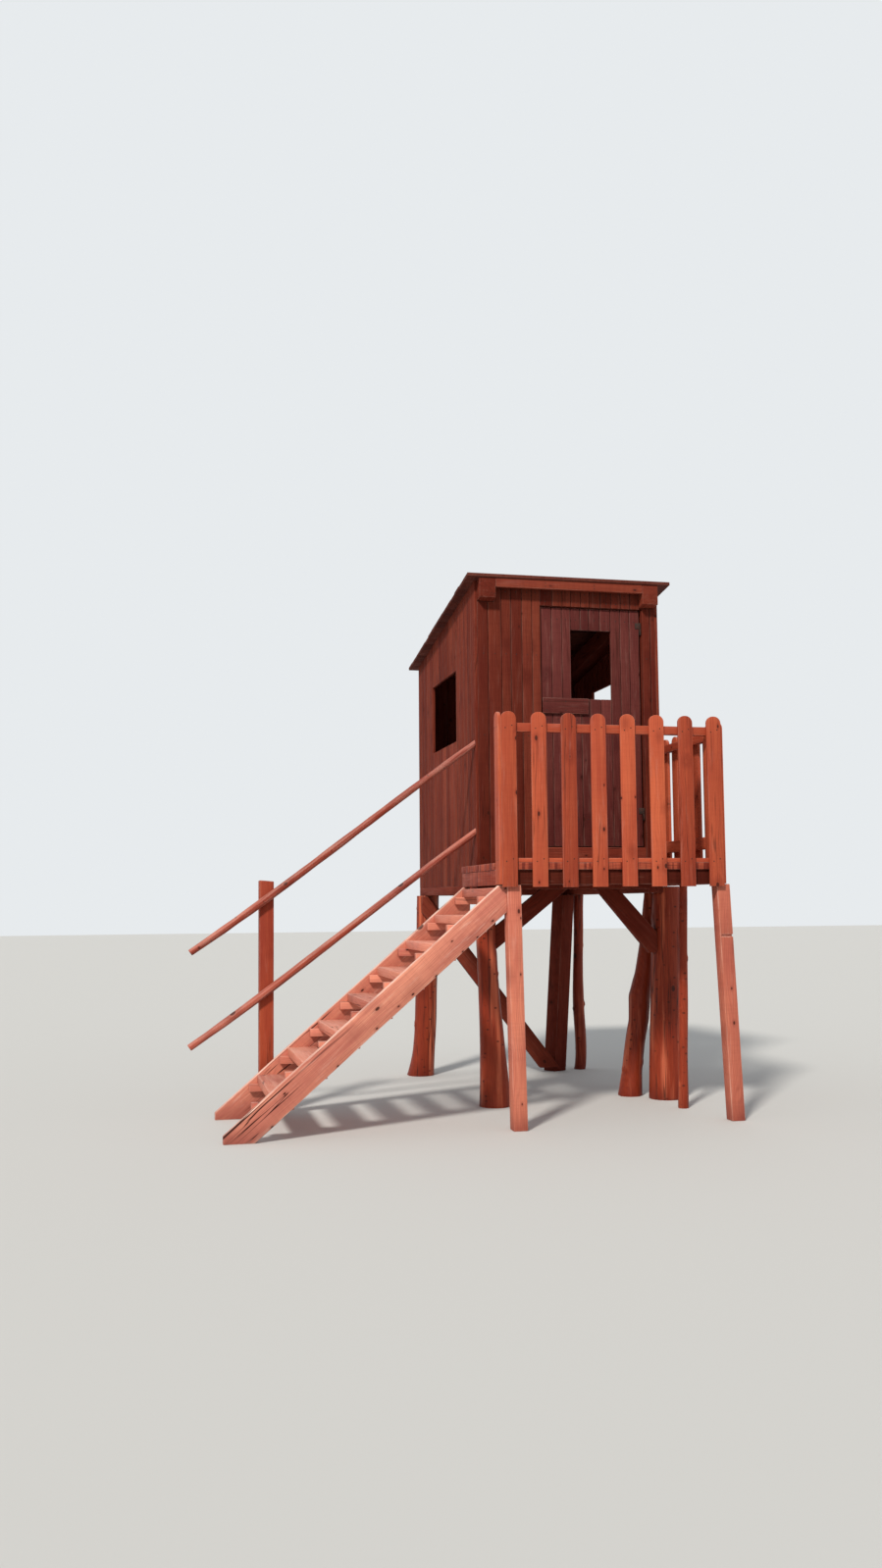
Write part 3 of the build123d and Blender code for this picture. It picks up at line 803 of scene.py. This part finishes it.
class TREEHOUSE_OT_railing(bpy.types.Operator):
    """Round-headed pickets on their rails and posts"""

    bl_idname = "treehouse.railing"
    bl_label = "Railing"

    def execute(self, context):
        self.panel("front", RIGHT, -BACK, setback=sizes().nail_proud, sag=0.004)
        self.panel("right", BACK, RIGHT)
        self.posts()
        return {"FINISHED"}

    def picket(self, low, high):
        """A picket between two corners: a board with a round head and softened edges."""
        obj = block(low, high)
        thin = BACK if high[1] - low[1] < high[0] - low[0] else RIGHT

        def at_head(edge):
            a, b = (v.co for v in edge.verts)
            return min(a.z, b.z) > high[2] - NEAR and abs((a - b).normalized().dot(thin)) > 0.9

        def at_broad_face(edge):
            turned = [abs(face.normal.dot(thin)) for face in edge.link_faces]
            return max(turned) > 0.9 and min(turned) < 0.5

        open_mesh(obj)
        choose(obj, "EDGE", at_head)
        round_edges(sizes().picket_head, segments=9)
        choose(obj, "EDGE", at_broad_face)
        round_edges(0.002)
        close_mesh()
        return obj

    def panel(self, side, along, facing, setback=0.0, sag=0.0):
        """Pickets on two rails: they stand back from the solid's face, and some hang a little lower."""
        node = side + "_railing"
        low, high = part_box(node)
        axis = 0 if along == RIGHT else 1
        across = 1 - axis
        inner, outer = (low, high) if facing[across] > 0 else (high, low)
        face = outer[across] - facing[across] * setback
        seam = outer[across] - facing[across] * PICKET_THICK
        middles = picket_middles(node, axis)
        a, b = low.copy(), high.copy()
        a[axis], b[axis] = middles[0] - PICKET_WIDE / 2, middles[0] + PICKET_WIDE / 2
        a[across], b[across] = sorted((face, seam))
        dice = random.Random("pickets")
        pickets = [self.picket(a, b)]
        for middle in middles[1:]:
            drop = dice.uniform(-sag, 0.0)
            pickets.append(copy_of(pickets[0], along * (middle - middles[0]) + UP * drop))
        finish_piece(join(side + "_pickets", pickets), "picket_stain", UP)

        corners = rail_corners(node, facing)
        ends = [v[axis] for v in corners]
        a[axis], b[axis] = min(ends), max(ends)
        a[across], b[across] = sorted((seam, inner[across]))
        rails, spots = [], []
        for bottom, top in rail_levels(corners):
            a.z, b.z = bottom, top
            rails.append(board(a, b, edge=0.003))
            spot = Vector((face, face, 0))
            for middle in middles:
                for way in (-1, 1):
                    spot[axis] = middle + way * 0.022
                    spot.z = (bottom + top) / 2 + way * 0.008
                    spots.append(spot.copy())
        nails(side + "_picket_nails", facing, spots)
        finish_piece(join(side + "_rails", rails), "picket_stain", along, node)

    def posts(self):
        """The single picket beside the corner, and the two posts."""
        low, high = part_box("railing_posts")
        corner = self.picket((low.x, low.y + sizes().nail_proud, low.z),
                             (low.x + PICKET_THICK, low.y + PICKET_WIDE, high.z))
        spots = []
        for bottom, top in rail_levels(rail_corners("front_railing", -BACK)):
            spots += [(low.x, low.y + PICKET_WIDE * share, (bottom + top) / 2) for share in (0.35, 0.75)]
        nails("corner_nails", -RIGHT, spots)
        heights = [v.z for v in vertices_of("railing_posts") if v.x > high.x - 0.01]
        pieces = [corner]
        for x in (low.x + PICKET_THICK, high.x - POST_SIDE):
            foot, head = (x, high.y - POST_SIDE, min(heights)), (x + POST_SIDE, high.y, max(heights))
            pieces.append(board(foot, head, edge=0.004))
        finish_piece(join("rail_posts", pieces), "picket_stain", UP, "railing_posts")


class TREEHOUSE_OT_frame(bpy.types.Operator):
    """Sills, joists, floor boards, studs, plates and rafters of the cabin"""

    bl_idname = "treehouse.frame"
    bl_label = "Cabin frame"

    def execute(self, context):
        for node, along in (
                ("sill_frame", BACK), ("floor_joists", RIGHT), ("wall_studs", UP), ("side_plates", BACK),
                ("cross_plates", RIGHT), ("rafters", BACK), ("threshold", RIGHT)):
            timber(node, along, "board_stain")
        low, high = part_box("floor_boards")
        gap = sizes().gap / 2
        count = round((high.x - low.x) / sizes().floor_board)
        step = (high.x - low.x) / count
        first = wall_board((low.x + gap, low.y, low.z), (low.x + step - gap, high.y, high.z), RIGHT)
        boards = [first] + [copy_of(first, (i * step, 0, 0)) for i in range(1, count)]
        finish_piece(join("floor_planks", boards), "board_stain", BACK, "floor_boards")
        return {"FINISHED"}


def clad(name, node, joints, across, facing, rows, stain="board_stain", body=HOUSE, hole=None,
         under_roof=True, tops=None, notch=None):
    """Upright boards over a wall's or a door's solid, between the given joints along across.

    Their outer side looks along facing and is nailed at the heights in rows, and under the roof.
    A hole is (from, to, bottom, top): the boards between its sides are left out from its bottom to its top.
    The board that a notch at that x falls in reaches its own top left of it, and the wall's top right of it.
    """
    low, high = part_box(node)
    axis = 0 if across == RIGHT else 1
    gap = sizes().gap / 2
    dice = random.Random(name)

    def holed(start, end):
        return hole and hole[0] - NEAR < start and end < hole[1] + NEAR

    boards = []
    for i, (start, end) in enumerate(zip(joints, joints[1:])):
        last = end > joints[-1] - NEAR
        a, b = low.copy(), high.copy()
        a[axis] = start + (gap if i else 0)
        b[axis] = end - (0 if last else gap)
        if tops:
            b.z = tops[i]
        spans = [(a.z, hole[2]), (hole[3], b.z)] if holed(start, end) else [(a.z, b.z)]
        for bottom, top in spans:
            a.z, b.z = bottom, top
            step = (notch, high.z) if notch and a.x < notch < b.x else None
            piece = wall_board(a, b, None if last else across, step)
            uneven = Vector((0, 0, 0))
            uneven[1 - axis] = dice.uniform(-0.0006, 0.0006)
            piece.data.transform(Matrix.Translation(uneven))
            boards.append(piece)
    wall = join(name, boards)
    if under_roof:
        point, normal = roof_plane()
        clear = 0.0005
        open_mesh(wall)
        bpy.ops.mesh.bisect(plane_co=point - normal * clear, plane_no=normal, use_fill=True, clear_outer=True)
        close_mesh()
    finish_piece(wall, stain, UP, node, body=body)

    spots = []
    for i, (start, end) in enumerate(zip(joints, joints[1:])):
        spot = high.copy() if facing[1 - axis] > 0 else low.copy()
        spot[axis] = (start + end) / 2 + dice.uniform(-0.006, 0.006)
        under_top = [roof_height(spot.y) - 0.07] if under_roof else []
        for z in list(rows) + under_top:
            in_hole = holed(start, end) and hole[2] < z < hole[3]
            if not in_hole and not (tops and z > tops[i]):
                spots.append((spot.x, spot.y, z))
    nails(name + "_nails", facing, spots, body)


def spread(start, end, count):
    """Evenly spaced joints from start to end, without the last."""
    return [start + (end - start) * i / count for i in range(count)]


class TREEHOUSE_OT_walls(bpy.types.Operator):
    """Boarded walls with their open windows"""

    bl_idname = "treehouse.walls"
    bl_label = "Walls"

    def execute(self, context):
        for node in ("left_wall", "right_wall"):
            self.side(node)
        low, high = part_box("back_wall")
        clad("back_wall_boards", "back_wall", spread(low.x, high.x, 12) + [high.x], RIGHT, BACK, self.rows())
        self.front()
        return {"FINISHED"}

    def rows(self, window=None):
        """Heights at which the wall boards are nailed: over the sill, under the windows and over them."""
        bottom, top = (window or opening("left_wall", 1))[2:]
        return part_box("floor_joists")[0].z + 0.03, bottom - 0.025, top + 0.025

    def side(self, node):
        """A side wall: five boards before its window, seven over and under it, and five behind it."""
        low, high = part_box(node)
        window = opening(node, 1)
        start, end = window[:2]
        joints = spread(low.y, start, 5) + spread(start, end, 7) + spread(end, high.y, 5) + [high.y]
        facing = -RIGHT if node == "left_wall" else RIGHT
        clad(node + "_boards", node, joints, BACK, facing, self.rows(window), hole=window)

    def front(self):
        """The boards beside and over the doorway, with their joints as the photograph shows them."""
        low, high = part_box("front_wall_left")
        plate_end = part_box("side_plates")[0].x + 0.12
        joints = [low.x, 0.084, 0.184, 0.255, 0.337, 0.413, high.x]
        shoulder = max(v.z for v in vertices_of("front_wall_left") if v.x < low.x + NEAR)
        tops = [shoulder, shoulder] + [high.z] * 4
        rows = (low.z + 0.05,) + self.rows()[1:]
        # Painted shade: the front boards take a darker stain, as they stand in shade under the roof.
        clad("front_left_boards", "front_wall_left", joints, RIGHT, -BACK, rows, "front_stain", tops=tops,
             notch=plate_end)
        low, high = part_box("front_wall_right")
        clad("front_right_boards", "front_wall_right", [low.x, low.x + 0.062, high.x], RIGHT, -BACK, rows,
             "front_stain", under_roof=False)
        low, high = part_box("front_wall_head")
        between = [x for x in door_joints() if low.x + 0.03 < x < high.x - 0.03]
        clad("front_head_boards", "front_wall_head", [low.x] + between + [high.x], RIGHT, -BACK,
             [low.z + 0.03], "front_stain")


def door_joints():
    """Joints between the door's boards, from the left, as the photograph shows them."""
    low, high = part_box("door")
    widths_so_far = (0.0, 0.080, 0.159, 0.225, 0.300, 0.366, 0.450, 0.532, 0.607, 0.680)
    return [low.x + width for width in widths_so_far] + [high.x]


class TREEHOUSE_OT_door(bpy.types.Operator):
    """Boarded door with an open window, ledger, battens and hinges"""

    bl_idname = "treehouse.door"
    bl_label = "Door"

    def execute(self, context):
        rows = sorted({(a.z + b.z) / 2 for a, b in solids_of("door_battens") if b.x - a.x > b.z - a.z})
        # The door's boards, ledger and battens take a stain that is partly painted shade.
        clad("door_boards", "door", door_joints(), RIGHT, -BACK, rows, "door_stain", LEAF,
             hole=opening("door", 0), under_roof=False)
        low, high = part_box("door_ledger")
        from_end, from_edge = 0.03, 0.025
        spots = [(x, low.y, z) for x in (low.x + from_end, (low.x + high.x) / 2, high.x - from_end)
                 for z in (low.z + from_edge, high.z - from_edge)]
        nails("ledger_nails", -BACK, spots, LEAF)
        timber("door_ledger", RIGHT, "door_stain", body=LEAF)
        timber("door_battens", RIGHT, "door_stain", body=LEAF)
        timber("door_hinges", RIGHT, "dull_iron", edge=0.0008, body=LEAF)
        timber("jamb_hinges", RIGHT, "dull_iron", edge=0.0008)
        return {"FINISHED"}


class TREEHOUSE_OT_roof(bpy.types.Operator):
    """Roof boards across the rafters, and the front fascia"""

    bl_idname = "treehouse.roof"
    bl_label = "Roof"

    def execute(self, context):
        lines = [(a.x + b.x) / 2 for a, b in solids_of("rafters") + solids_of("side_plates")]
        self.planks(lines)
        timber("front_fascia", RIGHT, "fascia_stain")
        low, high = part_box("front_fascia")
        spots = [(x, low.y, low.z + share * (high.z - low.z)) for x in lines if low.x < x < high.x
                 for share in (0.3, 0.65)]
        nails("fascia_nails", -BACK, spots)
        return {"FINISHED"}

    def planks(self, lines):
        """Boards from side to side down the slope, nailed along the lines of the rafters and plates."""
        low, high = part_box("roof_boards")
        slab = vertices_of("roof_boards")
        front_bottom = min(v.z for v in slab if v.y < low.y + NEAR)
        back = [v.z for v in slab if v.y > high.y - NEAR]
        fall = math.atan2(front_bottom - min(back), high.y - low.y)
        depth = max(back) - min(back)
        reach = math.hypot(front_bottom - min(back), high.y - low.y) - depth * math.sin(fall)
        thick = depth * math.cos(fall)
        count = round(reach / sizes().roof_board)
        step = reach / count
        run = Vector((0, math.cos(fall), -math.sin(fall)))
        rise = Vector((0, math.sin(fall), math.cos(fall)))
        start = Vector(((low.x + high.x) / 2, low.y, front_bottom)) + rise * thick / 2
        dice = random.Random("roof")
        boards, spots = [], []
        for i in range(count):
            middle = start + run * step * (i + 0.5)
            half = Vector(((high.x - low.x) / 2 - dice.uniform(0, 0.006), step / 2 - SNUG, thick / 2))
            boards.append(board(middle - half, middle + half, turn=(-fall, 0, 0), edge=0.003))
            for x in lines:
                for side in (-0.3, 0.3):
                    spot = middle + rise * thick / 2 + run * step * side
                    spots.append((x + dice.uniform(-0.004, 0.004), spot.y, spot.z))
        nails("roof_nails", rise, spots)
        finish_piece(join("roof_planks", boards), "roof_stain", RIGHT, "roof_boards")


class TREEHOUSE_OT_stair(bpy.types.Operator):
    """Stair of sawn planks with battened treads"""

    bl_idname = "treehouse.stair"
    bl_label = "Stair"

    def execute(self, context):
        low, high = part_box("near_stringer")
        pitch = Vector((high.x - low.x, 0, high.z - low.z))
        for node in ("near_stringer", "far_stringer"):
            timber(node, pitch, "stringer_stain", edge=0.005)
        # The treads and their cleats take the lighter stain, which is painted sunlight.
        timber("treads", BACK, "tread_stain")
        timber("tread_cleats", RIGHT, "tread_stain")
        from_end, from_edge = 0.028, 0.05
        spots = []
        for low, high in solids_of("treads"):
            for y in (low.y + from_end, high.y - from_end):
                spots += [(low.x + from_edge, y, high.z), (high.x - from_edge, y, high.z)]
        nails("tread_nails", UP, spots)
        return {"FINISHED"}


class TREEHOUSE_OT_handrails(bpy.types.Operator):
    """Crooked poles of the handrail"""

    bl_idname = "treehouse.handrails"
    bl_label = "Handrails"

    def execute(self, context):
        for node in ("upper_handrail", "lower_handrail"):
            self.pole(node)
        return {"FINISHED"}

    def pole(self, node):
        """One pole: an even mesh on its solid, a little crooked along its length."""
        obj = solid_copy(node, node + "_pole")
        modify(obj, "REMESH", mode="VOXEL", voxel_size=0.006)
        low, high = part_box(node)
        run = Vector((high.x - low.x, 0, high.z - low.z)).normalized()

        def bow(place, normal):
            if abs(normal.dot(run)) >= 0.6:
                return 0.0
            return 0.0022 * noise.noise(Vector((place.dot(run) * 7, place.y * 12, low.z))) - 0.0005

        push_out(obj, bow)
        finish_piece(obj, "pole_stain", run, node)


class TREEHOUSE_OT_stage(bpy.types.Operator):
    """Pale floor, soft light and the camera of the photograph"""

    bl_idname = "treehouse.stage"
    bl_label = "Stage"

    SUNSHINE = (1.0, 0.95, 0.88)
    SUN_RAYS = (0.52, 0.74, -0.78)
    SUN_SPREAD = math.radians(7)
    SKYLIGHT = (0.93, 0.96, 1.0, 1.0)
    BACKDROP = (0.80, 0.83, 0.85, 1.0)

    def execute(self, context):
        stage = settings()
        bpy.ops.mesh.primitive_plane_add(size=120)
        floor = context.object
        floor.name = "floor"
        paint = bpy.data.materials.new("floor_paint")
        Shading(paint).surface({"Base Color": opaque(stage.floor), "Roughness": 0.9})
        floor.data.materials.append(paint)
        bpy.ops.object.light_add(type="SUN", location=(-6, -9, 9))
        sun = context.object
        sun.data.energy = stage.sun
        sun.data.angle = self.SUN_SPREAD
        sun.data.color = self.SUNSHINE
        sun.rotation_euler = Vector(self.SUN_RAYS).to_track_quat("-Z", "Y").to_euler()
        self.sky(context, stage.sky)
        self.camera(context, stage)
        context.scene.view_settings.view_transform = "Standard"
        return {"FINISHED"}

    def sky(self, context, strength):
        """Even light from all round, with a pale backdrop for the camera, for gloss and through glass."""
        sky = Shading(bpy.data.worlds.new("sky"))
        context.scene.world = sky.owner
        light = sky.tree.nodes["Background"]
        sky.fill(light, {"Color": self.SKYLIGHT, "Strength": strength})
        pale = sky.node("Background", {"Color": self.BACKDROP})
        ray = sky.node("LightPath").outputs
        seen = sky.larger(ray["Is Camera Ray"], ray["Is Glossy Ray"])
        seen = sky.larger(seen, ray["Is Transmission Ray"])
        choice = sky.node("MixShader", {0: seen, 1: light.outputs[0], 2: pale.outputs[0]})
        sky.fill(sky.tree.nodes["World Output"], {"Surface": choice.outputs[0]})

    def camera(self, context, stage):
        """The camera of the photograph, from its yaw, pitch and roll."""
        bpy.ops.object.camera_add(location=stage.eye)
        camera = context.object
        camera.name = "camera"
        yaw, pitch, roll = stage.turn
        turn = Euler((0, 0, -yaw)).to_matrix() @ Euler((math.pi / 2 + pitch, 0, 0)).to_matrix()
        turn = turn @ Euler((0, 0, -roll)).to_matrix()
        camera.rotation_euler = turn.to_euler()
        camera.data.lens = stage.lens
        camera.data.clip_end = 300
        context.scene.camera = camera


class TREEHOUSE_PT_panel(bpy.types.Panel):
    """Tree house pieces"""

    bl_idname = "TREEHOUSE_PT_panel"
    bl_label = "Tree house"
    bl_space_type = "VIEW_3D"
    bl_region_type = "UI"
    bl_category = "Tree house"

    def draw(self, context):
        for operator in OPERATORS:
            self.layout.operator(operator.bl_idname)
        for group in (sizes(), colours(), settings()):
            box = self.layout.box()
            for name in group.__annotations__:
                box.prop(group, name)


OPERATORS = (
    TREEHOUSE_OT_stage, TREEHOUSE_OT_logs, TREEHOUSE_OT_posts, TREEHOUSE_OT_deck, TREEHOUSE_OT_railing,
    TREEHOUSE_OT_frame, TREEHOUSE_OT_walls, TREEHOUSE_OT_door, TREEHOUSE_OT_roof, TREEHOUSE_OT_stair,
    TREEHOUSE_OT_handrails)
CLASSES = (BoardSizes, StainColours, StageSettings, *OPERATORS, TREEHOUSE_PT_panel)
SETTINGS = {
    "tree_house_sizes": BoardSizes, "tree_house_colours": StainColours, "tree_house_stage": StageSettings}


def register():
    for each in CLASSES:
        bpy.utils.register_class(each)
    for name, group in SETTINGS.items():
        setattr(bpy.types.Scene, name, bpy.props.PointerProperty(type=group))


def unregister():
    for name in SETTINGS:
        delattr(bpy.types.Scene, name)
    for each in reversed(CLASSES):
        bpy.utils.unregister_class(each)


def main():
    register()
    for operator in OPERATORS:
        group, name = operator.bl_idname.split(".")
        getattr(getattr(bpy.ops, group), name)()


if __name__ == "__main__":
    main()
